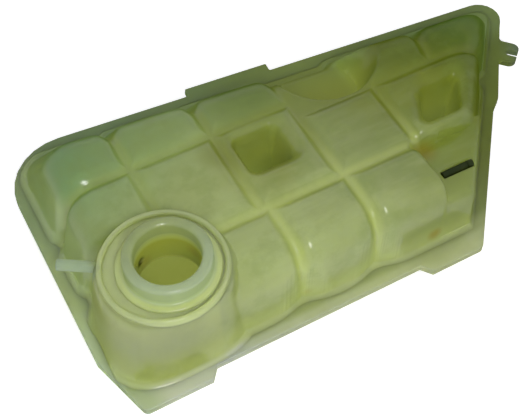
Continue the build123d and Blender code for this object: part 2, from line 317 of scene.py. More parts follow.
def pedestal_height(x, y):
    """Height of the cone under the neck, cut flat along its front, and the distance inside its foot."""
    from_axis = np.hypot(x - COLLAR[0], y - COLLAR[1])
    front = y - (COLLAR[1] - PEDESTAL_FRONT)

    def inside_at(level):
        """Distance inside the cone's circle at a level, with a round shoulder, and the flat front."""
        run = wall_run(level, PEDESTAL_LEAN, PEDESTAL_TOP, PEDESTAL_SHOULDER)
        front_run = PEDESTAL_FRONT_LEAN * level / PEDESTAL_TOP
        return soft_min(PEDESTAL_FOOT_R - run - from_axis, front - front_run, PEDESTAL_CORNER)

    return risen(inside_at, np.full(x.shape, PEDESTAL_TOP)), inside_at(np.zeros(x.shape))


def rows_height(x, y, top, pull):
    """Height of the two back rows as one block, by level, and the distance inside their foot.

    The walls are pulled in at the seams. The front row hides the block's front but at its two ends.
    """
    left = x - LEFT_WALL - pull
    back = (back_wall(x) - y) * np.cos(BACK_TILT) - pull
    right = (right_wall(y) - x) * np.sin(RIGHT_ANGLE) - pull
    at_end = smooth_step(*ROWS_END_SPAN, x)
    at_neck = 1.0 - smooth_step(*ROWS_NECK_SPAN, x)
    front = y - ROWS_FRONT_Y - (MIDDLE_Y - ROWS_FRONT_Y) * at_end - (ROWS_NECK_Y - ROWS_FRONT_Y) * at_neck

    def inside_at(level):
        """Distance inside the block's outline at a level."""
        left_in = left - wall_run(level, LEFT_LEAN, top, BROW_ROUND)
        back_in = back - wall_run(level, BACK_LEAN, top, BROW_ROUND)
        right_in = right - wall_run(level, RIGHT_LEAN, top, BROW_ROUND)
        front_in = front - wall_run(level, FRONT_LEAN, top, END_ROUND)
        back_left = round_corner(left_in, back_in, BACK_LEFT_ROUND)
        back_right = round_corner(right_in, back_in, BACK_RIGHT_ROUND)
        front_corners = round_corner(np.minimum(left_in, right_in), front_in, ROWS_CORNER_ROUND)
        return np.minimum(np.minimum(back_left, back_right), front_corners)

    return risen(inside_at, top), inside_at(np.zeros(x.shape))


def front_height(x, y, top, seam):
    """Height of the front row's three upright bellies, and the distance inside their foot.

    Each belly has a large brow. It draws in toward its seams, and more so near the foot, so its lower
    corners are round.
    """
    front = y - FRONT_WALL

    def inside_at(level):
        """Distance inside the row's outline at a level."""
        low = np.square(np.clip(1.0 - level / BELLY_FOOT_HEIGHT, 0.0, 1.0))
        pull = SEAM_PULL * np.exp(-np.square(seam / (BELLY_SEAM + BELLY_FOOT_SEAM * low)))
        front_in = front - pull - wall_run(level, FRONT_LEAN, top, BROW_ROUND)
        end_in = FRONT_COLUMNS[3] - x - wall_run(level, FRONT_LEAN, top, END_ROUND)
        return np.minimum(round_corner(front_in, end_in, FRONT_CORNER_ROUND), x - FRONT_COLUMNS[0])

    here = y < MIDDLE_Y + BELLY_OVERLAP
    height = np.where(here, risen(inside_at, top), NO_HEIGHT)
    return height, np.where(here, inside_at(np.zeros(x.shape)), FAR_OUT)


def shelf_height(x, y):
    """Height of the low shelf, the lesser of its two walls' rises, and the distance inside its foot."""
    front = y - FRONT_WALL
    right = (right_wall(y) - x) * np.sin(RIGHT_ANGLE)
    height = np.minimum(wall_rise(front, FRONT_LEAN, SHELF_TOP, SHELF_ROUND),
                        wall_rise(right, SHELF_RIGHT_LEAN, SHELF_TOP, SHELF_ROUND))
    here = (x > SHELF_START[0]) & (y < SHELF_START[1])
    return np.where(here, height, NO_HEIGHT), np.where(here, np.minimum(front, right), FAR_OUT)


def hollowed(x, y, height):
    """The height cut down to the cone of the scoop at the back and to the walls of the two tie pockets."""
    from_axis = np.hypot(x - SCOOP_CENTRE[0], y - SCOOP_CENTRE[1])
    scoop = np.maximum(SCOOP_FLOOR, CELL_TOP - (SCOOP_R - from_axis) / math.tan(SCOOP_TAPER))
    height = soft_min(height, scoop, SCOOP_RIM)
    for centre, half, skew in POCKETS:
        height = soft_min(height, pocket_depth(x, y, centre, half, skew), POCKET_RIM)
    return height


def marked(x, y, height):
    """The height less the shallow round mark and, on the shelf alone, the pin's soft-edged trough."""
    from_mark = np.hypot(x - MARK_CENTRE[0], y - MARK_CENTRE[1])
    height = height - MARK_DEPTH * (1.0 - smooth_step(*MARK_RADII, from_mark))
    from_trough = np.hypot(np.clip(np.abs(x - TROUGH_CENTRE[0]) - TROUGH_HALF[0], 0.0, None),
                           np.clip(np.abs(y - TROUGH_CENTRE[1]) - TROUGH_HALF[1], 0.0, None))
    on_shelf = height < SHELF_TOP + TROUGH_CLEAR
    return height - TROUGH_DEPTH * (1.0 - smooth_step(0.0, TROUGH_EDGE, from_trough)) * on_shelf


def shell_height(x, y):
    """Height of the moulded shell over the plan, and the tones that its material reads.

    The walls rise to a quilted top, each seam a valley shaped like a bell curve. The shelf joins them, the
    scoop and the pockets are cut down, the pedestal is blended in, and a fillet runs round the foot.
    """
    seam = seam_distance(x, y)
    valley = np.exp(-np.square(seam / SEAM_HALF))
    top = CELL_TOP + CELL_CROWN * smooth_step(*CROWN_SPAN, seam) - SEAM_DEPTH * valley
    rows, rows_in = rows_height(x, y, top, SEAM_PULL * valley)
    bellies, bellies_in = front_height(x, y, top, seam)
    shelf, shelf_in = shelf_height(x, y)
    cone, cone_in = pedestal_height(x, y)
    solid = soft_max(np.maximum(rows, bellies), shelf, SHELF_BLEND)
    height = hollowed(x, y, solid)
    hollow = np.clip((solid - height) / FULL_HOLLOW, 0.0, 1.0)
    low = 1.0 - smooth_step(*PEDESTAL_LOW_SPAN, np.maximum(height, cone))
    height = marked(x, y, soft_max(height, cone, PEDESTAL_BLEND + PEDESTAL_LOW_BLEND * low))
    within = np.maximum.reduce([rows_in, bellies_in, shelf_in, cone_in])
    edge = round_corner(x - LEFT_X, (back_edge(x) - y) * np.cos(BACK_TILT), BACK_CORNER_ROUND)
    fillet = np.square(np.clip(1.0 + within / FOOT_REACH, 0.0, 1.0)) * smooth_step(*FOOT_EDGE_SPAN, edge)
    height = np.maximum(np.maximum(height, FOOT_BASE + FOOT_RISE * fillet), SKIN_LOW)
    # The foot tone masks a painted glow along the walls' foot, lifting the shade there.
    foot = np.exp(-np.square((within + FOOT_GLOW_OUT) / FOOT_GLOW_REACH))
    return height, {"seam": valley, "hollow": hollow, "foot": foot}


def graded(parts):
    """Grid lines from runs of (start, end, count), joined to one rising row of values."""
    lines = [np.linspace(start, end, count, endpoint=False) for start, end, count in parts]
    return np.append(np.concatenate(lines), parts[-1][1])


def quad_faces(rows, columns, wrap=False):
    """Four-sided faces of a grid of points numbered row by row, closed round both ways if it wraps."""
    r, c = np.meshgrid(np.arange(rows - 1 + wrap), np.arange(columns - 1 + wrap), indexing="ij")
    r1, c1 = (r + 1) % rows, (c + 1) % columns
    quads = np.stack([r * columns + c, r * columns + c1, r1 * columns + c1, r1 * columns + c], axis=-1)
    return quads.reshape(-1, 4)


def shell_skin():
    """The shell as a height over a four-cornered plan, with s from left to right and t from front to back.

    The lines crowd together at the steep front wall and at the right wall. Faces in the neck's opening, and
    those that lie flat inside the flange, are left out.
    """
    band_end = 0.2
    s, t = np.meshgrid(graded([(0.0, 0.95, 255), (0.95, 1.0, 22)]),
                       graded([(0.0, band_end, 34), (band_end, 1.0, 126)]))
    left_x = LEFT_WALL - SKIN_MARGIN
    front_y = FRONT_Y + SKIN_FRONT_GAP
    band_y = front_y + SKIN_FRONT_BAND
    right_x = right_wall(0.0) + SKIN_MARGIN / math.sin(RIGHT_ANGLE)
    back_y = back_wall(0.0) + SKIN_MARGIN / math.cos(BACK_TILT)
    left_y = back_y - math.tan(BACK_TILT) * left_x
    last_y = left_y + s * (back_right_corner(back_y, right_x)[1] - left_y)
    y = np.where(t < band_end, front_y + (band_y - front_y) * t / band_end,
                 band_y + (last_y - band_y) * (t - band_end) / (1.0 - band_end))
    x = left_x + s * (right_x + y / math.tan(RIGHT_ANGLE) - left_x)
    height, tones = shell_height(x, y)
    points = np.stack([x, y, WELD_Z + height], axis=-1).reshape(-1, 3)
    corners = quad_faces(*x.shape)
    middle = points[corners].mean(axis=1)
    past_opening = np.hypot(middle[:, 0] - NECK[0], middle[:, 1] - NECK[1]) > SKIN_OPENING_R
    past_flange = points[corners][:, :, 2].max(axis=1) > WELD_Z + FOOT_BASE + SKIN_LEAST_RISE
    used, faces = np.unique(corners[past_opening & past_flange], return_inverse=True)
    at_points = {name: tone.reshape(-1)[used] for name, tone in tones.items()}
    return points[used], faces.reshape(-1, 4), at_points


def rounded_loop(corners, steps=6):
    """A closed outline from (point, radius) pairs: each corner becomes an arc, or stays sharp at nought."""
    places = [np.array(point, float) for point, _ in corners]
    out = []
    for k, (_, radius) in enumerate(corners):
        corner = places[k]
        if radius == 0.0:
            out.append(corner[None, :])
            continue
        before = places[k - 1] - corner
        after = places[(k + 1) % len(places)] - corner
        before /= np.linalg.norm(before)
        after /= np.linalg.norm(after)
        half = 0.5 * math.acos(np.clip(before @ after, -1.0, 1.0))
        centre = corner + (before + after) / np.linalg.norm(before + after) * radius / math.sin(half)
        start = corner + before * radius / math.tan(half) - centre
        stop = corner + after * radius / math.tan(half) - centre
        turn = math.atan2(start[0] * stop[1] - start[1] * stop[0], start @ stop)
        angle = turn * np.linspace(0.0, 1.0, steps + 1)
        cosine, sine = np.cos(angle), np.sin(angle)
        arc = [start[0] * cosine - start[1] * sine, start[0] * sine + start[1] * cosine]
        out.append(centre + np.stack(arc, axis=1))
    return np.concatenate(out)


def turned(profile, origin, axis, segments):
    """A closed profile of (radius, distance along the axis) turned once round the axis."""
    axis = np.array(axis, float) / np.linalg.norm(axis)
    across = np.cross(axis, [0.0, 0.0, 1.0] if abs(axis[2]) < 0.9 else [0.0, 1.0, 0.0])
    across /= np.linalg.norm(across)
    third = np.cross(axis, across)
    angle = np.linspace(0.0, 2.0 * np.pi, segments, endpoint=False)
    spokes = np.cos(angle)[:, None] * across + np.sin(angle)[:, None] * third
    points = np.array(origin) + spokes[:, None, :] * profile[None, :, :1] + axis * profile[None, :, 1:]
    return points.reshape(-1, 3), quad_faces(segments, len(profile), wrap=True)[:, ::-1]


def flange_outline():
    """Outline of the weld flange: ears in front, a tab behind, a swell and a slotted lug at the right."""
    back_way = np.array([math.cos(BACK_TILT), -math.sin(BACK_TILT)])
    right_way = np.array([math.cos(RIGHT_ANGLE), math.sin(RIGHT_ANGLE)])
    right_out = np.array([right_way[1], -right_way[0]])
    tab_start = np.array([TAB_X, back_edge(TAB_X)])
    tab_end = tab_start + back_way * TAB_LENGTH
    tab_out = np.array([-back_way[1], back_way[0]]) * TAB_DEPTH
    swell, swell_end = [np.array([right_edge(y), y]) for y in SWELL_Y]
    swell_full = swell + right_way * SWELL_RUN + right_out * SWELL_OUT
    swell_way = (swell_end - swell_full) / np.linalg.norm(swell_end - swell_full)
    lug = np.array([right_edge(LUG_Y), LUG_Y])
    lug_angle = RIGHT_ANGLE - math.pi / 2 - LUG_TURN
    lug_way = np.array([math.cos(lug_angle), math.sin(lug_angle)])
    lug_side = np.array([-lug_way[1], lug_way[0]])

    def on_lug(reach, offset):
        """A point of the lug by its reach out from the edge and its offset from the lug's middle."""
        return lug + lug_way * reach + lug_side * offset

    def lug_root(offset):
        """Where a side of the lug leaves the swell's edge."""
        start = on_lug(0.0, offset)
        reach = np.linalg.solve(np.stack([lug_way, -swell_way], 1), swell_full - start)[0]
        return start + lug_way * reach

    return rounded_loop([
        ((LEFT_X, LEFT_CUT_Y), 5.0), ((LEFT_EAR_X[0], EAR_Y), 4.0), ((LEFT_EAR_X[1], EAR_Y), 1.5),
        ((LEFT_EAR_X[2], FRONT_Y), 1.5), ((RIGHT_EAR_X[0], FRONT_Y), 1.5), ((RIGHT_EAR_X[1], EAR_Y), 1.5),
        ((right_edge(EAR_Y), EAR_Y), 4.0),
        (swell, 6.0), (swell_full, 6.0), (lug_root(-LUG_HALF), 3.0), (on_lug(LUG_REACH, -LUG_HALF), 5.0),
        (on_lug(LUG_REACH, -SLOT_HALF), 0.8), (on_lug(SLOT_FLOOR, -SLOT_HALF), 2.7),
        (on_lug(SLOT_FLOOR, SLOT_HALF), 2.7), (on_lug(LUG_REACH, SLOT_HALF), 0.8),
        (on_lug(LUG_REACH, LUG_HALF), 5.0), (lug_root(LUG_HALF), 3.0), (swell_end, 8.0),
        (back_right_corner(back_edge(0.0), right_edge(0.0)), 14.0),
        (tab_end, 1.2), (tab_end + tab_out, 1.0), (tab_start + tab_out, 1.0), (tab_start, 1.2),
        ((LEFT_X, back_edge(LEFT_X)), BACK_CORNER_ROUND),
    ], steps=7)


def evaluated_mesh(piece):
    """A mesh of an object as it stands with its thickness or its modifiers."""
    bpy.context.view_layer.update()
    return bpy.data.meshes.new_from_object(piece.evaluated_get(bpy.context.evaluated_depsgraph_get()))


def new_object(data):
    """An object at the origin that carries a mesh or a curve."""
    made = bpy.data.objects.new(data.name, data)
    bpy.context.collection.objects.link(made)
    return made


def mesh_of_curve(curve):
    """A curve with its thickness made a mesh, the curve itself being dropped."""
    mesh = evaluated_mesh(new_object(curve))
    mesh.name = curve.name
    bpy.data.curves.remove(curve)
    return mesh


def flange_plate():
    """The flange as a flat curve with the tank's opening in it, given thickness and a small round edge."""
    left_x = LEFT_WALL + FLANGE_INSET
    near_y = FRONT_WALL + FLANGE_INSET
    inner = [(left_x, near_y), (right_wall(FRONT_WALL) - FLANGE_RIGHT_INSET, near_y),
             FLANGE_INNER_CORNER, (left_x, back_wall(LEFT_WALL) - FLANGE_BACK_INSET)]
    curve = bpy.data.curves.new("flange_plate", "CURVE")
    curve.dimensions = "2D"
    curve.fill_mode = "BOTH"
    curve.extrude = (LIP / 2 - LIP_EDGE_ROUND) * MM
    curve.bevel_depth = LIP_EDGE_ROUND * MM
    curve.bevel_resolution = 2
    curve.offset = -LIP_EDGE_ROUND * MM
    for loop in (flange_outline(), rounded_loop([(point, FLANGE_INNER_ROUND) for point in inner])):
        spline = curve.splines.new("POLY")
        spline.points.add(len(loop) - 1)
        rows = np.concatenate([loop * MM, np.zeros((len(loop), 1)), np.ones((len(loop), 1))], axis=1)
        spline.points.foreach_set("co", rows.reshape(-1))
        spline.use_cyclic_u = True
    mesh = mesh_of_curve(curve)
    mesh.transform(Matrix.Translation((0, 0, (WELD_Z + LIP / 2) * MM)))
    return new_object(mesh)


def mesh_piece(name, points, faces, tones=()):
    """An object from whole arrays of points and four-sided faces, with named tones at the points."""
    mesh = bpy.data.meshes.new(name)
    mesh.vertices.add(len(points))
    mesh.vertices.foreach_set("co", (np.asarray(points) * MM).reshape(-1))
    mesh.loops.add(faces.size)
    mesh.loops.foreach_set("vertex_index", faces.reshape(-1))
    mesh.polygons.add(len(faces))
    mesh.polygons.foreach_set("loop_start", np.arange(0, faces.size, 4))
    for key, values in dict(tones).items():
        mesh.attributes.new(key, "FLOAT", "POINT").data.foreach_set("value", values)
    mesh.update(calc_edges=True)
    mesh.validate()
    return new_object(mesh)


def upper_shell():
    """The moulded shell as one wall of even thickness, drawn inward from its outer face."""
    shell = mesh_piece("upper_shell", *shell_skin())
    wall = shell.modifiers.new("wall", "SOLIDIFY")
    wall.thickness = WALL * MM
    wall.offset = -1.0
    return shell


def overflow_cutter():
    """A round rod from the neck's bore into the overflow tube, used once to cut the hole between them."""
    curve = bpy.data.curves.new("overflow_way", "CURVE")
    curve.dimensions = "3D"
    curve.bevel_depth = OVERFLOW_R * MM
    curve.bevel_resolution = 6
    curve.use_fill_caps = True
    spline = curve.splines.new("POLY")
    spline.points.add(len(OVERFLOW_ENDS) - 1)
    for point, (reach, way, height) in zip(spline.points, OVERFLOW_ENDS):
        x = NECK[0] + reach * math.cos(way)
        y = NECK[1] + reach * math.sin(way)
        point.co = (x * MM, y * MM, (WELD_Z + height) * MM, 1.0)
    return new_object(mesh_of_curve(curve))


def filler_neck():
    """The neck with its rim, step and sleeve, turned about its axis, and the overflow's hole in it."""
    points, faces = turned(rounded_loop(NECK_PROFILE), (*NECK, WELD_Z), UP, NECK_SEGMENTS)
    neck = mesh_piece("filler_neck", points, faces)
    rod = overflow_cutter()
    cut = neck.modifiers.new("overflow_hole", "BOOLEAN")
    cut.operation = "DIFFERENCE"
    cut.solver = "EXACT"
    cut.object = rod
    plain = neck.data
    neck.data = evaluated_mesh(neck)
    neck.modifiers.clear()
    bpy.data.meshes.remove(plain)
    bpy.data.meshes.remove(rod.data)
    neck.data.name = "filler_neck"
    return neck


def neck_ring_and_tube():
    """The ring round the neck and the overflow tube, each turned about its own axis, in one mesh."""
    tube_way = (math.cos(OVERFLOW_WAY), math.sin(OVERFLOW_WAY), 0)
    tube_start = (*NECK, WELD_Z + OVERFLOW_HEIGHT)
    ring_points, ring_faces = turned(rounded_loop(RING_PROFILE), (*COLLAR, WELD_Z), UP, NECK_SEGMENTS)
    tube_points, tube_faces = turned(rounded_loop(TUBE_PROFILE, 3), tube_start, tube_way, TUBE_SEGMENTS)
    points = np.concatenate([ring_points, tube_points])
    faces = np.concatenate([ring_faces, tube_faces + len(ring_points)])
    return mesh_piece("neck_ring_and_tube", points, faces)


upper_pieces = [flange_plate(), upper_shell(), filler_neck(), neck_ring_and_tube()]
for piece in upper_pieces:
    piece.data.polygons.foreach_set("use_smooth", np.ones(len(piece.data.polygons), bool))
    piece.data.set_sharp_from_angle(angle=SHARP_ANGLE)
    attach(piece, "root")
    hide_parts("upper_half")


def srgb(red, green, blue):
    """A colour given as it looks on screen, 0 to 255, made linear by the screen's standard curve."""
    c = np.array([red, green, blue]) / 255.0
    linear = np.where(c <= 0.04045, c / 12.92, ((c + 0.055) / 1.055) ** 2.4)
    return (*[float(v) for v in linear], 1.0)


# Tints of the aged plastic, from plain tones to stains, painted light and painted shade, then those of its
# painted glow and of the pin
PALE_FRONT = srgb(152, 164, 106)
OLIVE_RIGHT = srgb(84, 98, 16)
BACK_GREEN = srgb(90, 130, 78)
CORNER_GREEN = srgb(66, 106, 44)
TAB_GREEN = srgb(80, 104, 26)
SHELF_OLIVE = srgb(124, 140, 52)
STAIN = srgb(116, 124, 34)
BLOTCH = srgb(110, 128, 60)
MOTTLE = srgb(120, 130, 52)
PAINTED_SHEEN_HAZE = srgb(172, 181, 128)
LOW_FRONT_TINT_AND_LIGHT = srgb(173, 183, 118)
EAR_LEFT_PAINTED_LIGHT = srgb(196, 202, 174)
EAR_RIGHT_PAINTED_LIGHT = srgb(180, 188, 136)
FAR_FLANGE = srgb(112, 126, 50)
LUG_GREY = srgb(88, 106, 88)
LEFT_EDGE_PAINTED_LIGHT_BACK = srgb(192, 208, 108)
LEFT_EDGE_PAINTED_LIGHT_FRONT = srgb(226, 246, 186)
LEFT_SIDE = srgb(162, 180, 124)
BACK_SIDE_PAINTED_LIGHT = srgb(124, 144, 84)
SEAM_TINT_PAINTED_LIGHT_FRONT = srgb(172, 182, 108)
SEAM_TINT_PAINTED_LIGHT_BACK_LEFT = srgb(134, 148, 78)
SEAM_TINT_PAINTED_LIGHT_BACK_RIGHT = srgb(112, 122, 44)
SEAM_STAIN = srgb(104, 112, 36)
HOLLOW_OLIVE = srgb(126, 132, 28)
PEDESTAL_SHADE_GREY = srgb(122, 130, 88)
PEDESTAL_SHADE_OLIVE = srgb(128, 139, 66)
RECESS_PAINTED_LIGHT = srgb(186, 198, 128)
NECK_FRONT_TINT_AND_LIGHT = srgb(150, 166, 132)
NECK_BACK_TINT_AND_SHADE = srgb(128, 140, 96)
TUBE_PALE = srgb(144, 162, 128)
BORE_OLIVE = srgb(144, 148, 38)
SLEEVE_END_PAINTED_LIGHT = srgb(186, 188, 96)
BROWN = srgb(132, 112, 24)
HOLE_PAINTED_SHADE = srgb(50, 56, 6)
WALL_PAINTED_GLOW = srgb(225, 246, 130)
FLOOR_PAINTED_GLOW = srgb(230, 244, 114)
NO_LIGHT = srgb(0, 0, 0)
PIN_DARK = srgb(26, 36, 3)
PIN_SCUFF = srgb(50, 58, 18)

# Soft patches as (centre, reach, amount): stains over the plan, brown spots in space, and single ones,
# among them painted shade on the pedestal and at the overflow hole
STAINS = (((-44, -1, 0), 42, 0.6), ((-42, -24, 0), 34, 0.3), ((22, 44, 0), 55, 0.65),
          ((69, -18, 0), 50, 0.65), ((12, -8, 0), 40, 0.5))
BROWN_SPOTS = (((66, -20, 36), 18, 0.6), ((41, -43, 66), 12, 0.5), ((26, -84, 44), 7, 0.6),
               ((-60, -84, 42), 6, 0.7), ((-138, -39, 75), 7, 0.5), ((-113, -50, 82), 7, 0.35))
CORNER_PATCH = ((136, 56, 0), 75, 0.75)
TAB_PATCH = ((-38, 44, 0), 48, 0.65)
SHELF_PATCH = ((50, -56, 0), 36, 0.6)
LUG_PATCH = ((174, 18, 0), 24, 0.95)
SEAM_PATCH = ((-67, 5, 78), 22, 0.6)
PEDESTAL_SHADE_PATCH = ((-148, -82, 52), 62, 0.8)
HOLE_SHADE_PATCH = ((-141, -40, 80), 5, 1.0)
TANK_FLOOR_GLOW_CENTRE = (-92, 4, 4)
ACROSS = (0.75, 0.6, 0.0)
BACKWARD = (-0.7, 1.0, 0.0)


class Nodes:
    """A node tree, with short ways to add the nodes that the finishes and the studio are built from."""

    def __init__(self, tree):
        """Keeps the tree that nodes are added to."""
        self.tree = tree

    def add(self, kind, inputs=(), **settings):
        """A node with its settings, and its inputs set to values or joined to other nodes' outputs."""
        made = self.tree.nodes.new(kind)
        for key, value in settings.items():
            setattr(made, key, value)
        for key, value in dict(inputs).items():
            if isinstance(value, bpy.types.NodeSocket):
                self.tree.links.new(value, made.inputs[key])
            else:
                made.inputs[key].default_value = value
        return made

    def chain(self, operation, values):
        """Two or more values taken together by one kind of arithmetic, pair after pair."""
        result = values[0]
        for value in values[1:]:
            result = self.add("ShaderNodeMath", {0: result, 1: value}, operation=operation).outputs[0]
        return result

    def times(self, *values):
        """The product of values."""
        return self.chain("MULTIPLY", values)

    def total(self, *values):
        """The sum of values."""
        return self.chain("ADD", values)

    def greatest(self, *values):
        """The greatest of values."""
        return self.chain("MAXIMUM", values)

    def vector(self, operation, first, second):
        """One step of arithmetic on two vectors, as the node's outputs."""
        return self.add("ShaderNodeVectorMath", {0: first, 1: second}, operation=operation).outputs

    def ramp(self, value, low, high, to_low=0.0, to_high=1.0):
        """A smooth step of a value between two limits."""
        limits = {0: value, 1: low, 2: high, 3: to_low, 4: to_high}
        return self.add("ShaderNodeMapRange", limits, interpolation_type="SMOOTHSTEP").outputs[0]

    def blend(self, factor, first, second):
        """Two colours mixed by a factor."""
        return self.add("ShaderNodeMix", {0: factor, 6: first, 7: second}, data_type="RGBA").outputs[2]

    def noise(self, where, scale, detail, roughness=0.55):
        """Cloudy noise over given coordinates, from about 0.3 to 0.7."""
        inputs = {"Vector": where, "Scale": scale, "Detail": detail, "Roughness": roughness}
        return self.add("ShaderNodeTexNoise", inputs).outputs["Fac"]

    def gap(self, where, point):
        """Distance from a point given in millimetres."""
        return self.vector("DISTANCE", where, [c * MM for c in point])["Value"]

    def patch(self, where, centre, reach, amount):
        """A soft round patch: its full amount near the centre, falling to nothing at its reach."""
        return self.ramp(self.gap(where, centre), reach * MM, 0.15 * reach * MM, 0.0, amount)


def handling_group():
    """Shared ageing of plastic pieces: cloudy mottling, fine scratches and their height."""
    group = bpy.data.node_groups.new("handling_marks", "ShaderNodeTree")
    group.interface.new_socket("Vector", in_out="INPUT", socket_type="NodeSocketVector")
    group.interface.new_socket("Cloud size", in_out="INPUT", socket_type="NodeSocketFloat")
    for name in ("Mottle", "Scratch", "Height"):
        group.interface.new_socket(name, in_out="OUTPUT", socket_type="NodeSocketFloat")
    nodes = Nodes(group)
    entry = nodes.add("NodeGroupInput").outputs
    where = entry["Vector"]
    mottle = nodes.ramp(nodes.noise(where, entry["Cloud size"], 4.0), 0.35, 0.65)
    stretch = {"Vector": where, "Rotation": (0.0, 0.0, 0.5), "Scale": (40.0, 420.0, 160.0)}
    stretched = nodes.add("ShaderNodeMapping", stretch).outputs[0]
    scratch = nodes.ramp(nodes.noise(stretched, 1.0, 2.0), 0.58, 0.72)
    grain = nodes.noise(where, 900.0, 2.0)
    height = nodes.total(nodes.times(grain, 0.35), nodes.times(scratch, 0.5))
    nodes.add("NodeGroupOutput", {"Mottle": mottle, "Scratch": scratch, "Height": height})
    return group


class Finish(Nodes):
    """A new material over the object's own coordinates, whose colour is laid on tint by tint."""

    def __init__(self, name, cloud_size):
        """Makes the material, with its coordinates and the shared handling marks ready to be joined."""
        self.material = bpy.data.materials.new(name)
        self.material.use_nodes = True
        super().__init__(self.material.node_tree)
        self.shader = self.tree.nodes["Principled BSDF"]
        self.where = self.add("ShaderNodeTexCoord").outputs["Object"]
        marks = {"Vector": self.where, "Cloud size": cloud_size}
        self.marks = self.add("ShaderNodeGroup", marks, node_tree=handling).outputs
        self.flat = None
        self.lengths = {}
        self.colour = None

    def tint(self, colour, mask):
        """Lays a colour over those so far, by a mask."""
        self.colour = self.blend(mask, self.colour, colour)

    def span(self, length, start, end, at_start=0.0, at_end=1.0):
        """A smooth step along one of the named lengths, between two places in millimetres."""
        return self.ramp(self.lengths[length], start * MM, end * MM, at_start, at_end)

    def zone(self, amount, *spans):
        """A mask of an amount, which fades from the end of each span (length, start, end) to its start."""
        return self.times(amount, *[self.span(*span) for span in spans])

    def tone(self, name):
        """The named value that the piece carries at its points."""
        return self.add("ShaderNodeAttribute", attribute_name=name).outputs["Fac"]

    def join(self, socket, value):
        """Feeds one of the shader's sockets."""
        self.tree.links.new(value, self.shader.inputs[socket])

    def settle(self, values):
        """Sets the shader's plain values."""
        for socket, value in values.items():
            self.shader.inputs[socket].default_value = value

    def rough_up(self, strength, distance):
        """Gives the surface the handling marks' height, with a distance in millimetres."""
        inputs = {"Height": self.marks["Height"], "Strength": strength, "Distance": distance * MM}
        self.join("Normal", self.add("ShaderNodeBump", inputs).outputs[0])


def measure_tank(finish):
    """Names the lengths that the tank's masks measure: along axes, across the tank and from some points."""
    place = finish.add("ShaderNodeSeparateXYZ", {0: finish.where}).outputs
    finish.flat = finish.vector("MULTIPLY", finish.where, (1.0, 1.0, 0.0))["Vector"]
    finish.lengths = {
        "x": place["X"],
        "y": place["Y"],
        "z": place["Z"],
        "across": finish.vector("DOT_PRODUCT", finish.where, ACROSS)["Value"],
        "backward": finish.vector("DOT_PRODUCT", finish.where, BACKWARD)["Value"],
        "from neck": finish.gap(finish.flat, (*NECK, 0.0)),
        "from collar": finish.gap(finish.flat, (*COLLAR, 0.0)),
        "from floor glow": finish.gap(finish.where, TANK_FLOOR_GLOW_CENTRE),
    }


def lay_plain_tones(finish, seam):
    """Pale at the front left, olive to the right, green at the back, with stains, blotches and a painted
    sheen of pale streaks on the front tops.
    """
    finish.colour = finish.blend(finish.span("across", -115, 95), PALE_FRONT, OLIVE_RIGHT)
    finish.tint(BACK_GREEN, finish.zone(0.9, ("backward", 40, 170)))
    finish.tint(CORNER_GREEN, finish.patch(finish.flat, *CORNER_PATCH))
    finish.tint(TAB_GREEN, finish.patch(finish.flat, *TAB_PATCH))
    finish.tint(SHELF_OLIVE, finish.patch(finish.flat, *SHELF_PATCH))
    cloud = finish.ramp(finish.marks["Mottle"], -0.3, 0.9)
    for stain in STAINS:
        finish.tint(STAIN, finish.times(finish.patch(finish.flat, *stain), cloud))
    blotch = finish.ramp(finish.noise(finish.where, 48.0, 5.0, 0.65), 0.44, 0.66)
    finish.tint(BLOTCH, finish.times(blotch, 0.3))
    # Painted sheen: pale streaks on the front tops, away from the seams, stand in for soft reflections
    # along the brows.
    stretch = {"Vector": finish.where, "Rotation": (0.0, 0.0, -0.12), "Scale": (22.0, 95.0, 40.0)}
    sheen_streaked = finish.add("ShaderNodeMapping", stretch).outputs[0]
    sheen_streak = finish.ramp(finish.noise(sheen_streaked, 1.0, 3.0), 0.42, 0.70)
    sheen_on_front_tops = finish.zone(0.22, ("z", 55, 80), ("z", 86, 84), ("y", 30, -60))
    finish.tint(PAINTED_SHEEN_HAZE, finish.times(sheen_on_front_tops, finish.ramp(seam, 0.25, 0.0), sheen_streak))


def lay_edge_tones(finish):
    """Paler low walls, partly painted light, and painted light on the ears, the left edge and the back
    walls; a darker far flange and a grey lug.
    """
    # Partly tint and partly painted light: the low front walls made paler and yellower against the shade at
    # their foot.
    finish.tint(LOW_FRONT_TINT_AND_LIGHT, finish.zone(0.65, ("z", 56, 37), ("y", -75, -84)))
    # Painted light: the thin ears made pale as if lit through.
    ear_painted_light = finish.blend(finish.span("x", -125, -10), EAR_LEFT_PAINTED_LIGHT, EAR_RIGHT_PAINTED_LIGHT)
    finish.tint(ear_painted_light, finish.zone(0.8, ("z", 38.5, 35), ("y", -85, -90)))
    finish.tint(FAR_FLANGE, finish.zone(0.6, ("z", 38.5, 35), ("across", 20, 80)))
    finish.tint(LUG_GREY, finish.patch(finish.flat, *LUG_PATCH))
    # Painted light: the left edge of the flange made pale where it lies in shade.
    left_edge_painted_light = finish.blend(finish.span("y", -10, -55), LEFT_EDGE_PAINTED_LIGHT_BACK, LEFT_EDGE_PAINTED_LIGHT_FRONT)
    finish.tint(left_edge_painted_light, finish.zone(0.85, ("z", 40, 34.5), ("x", -168, -179), ("y", 50, -30)))
    finish.tint(LEFT_SIDE, finish.zone(0.7, ("z", 78, 60), ("x", -150, -166)))
    # Painted light: the back walls made lighter where they face away from the light.
    finish.tint(BACK_SIDE_PAINTED_LIGHT, finish.zone(0.6, ("z", 81, 66), ("y", 30, 50)))


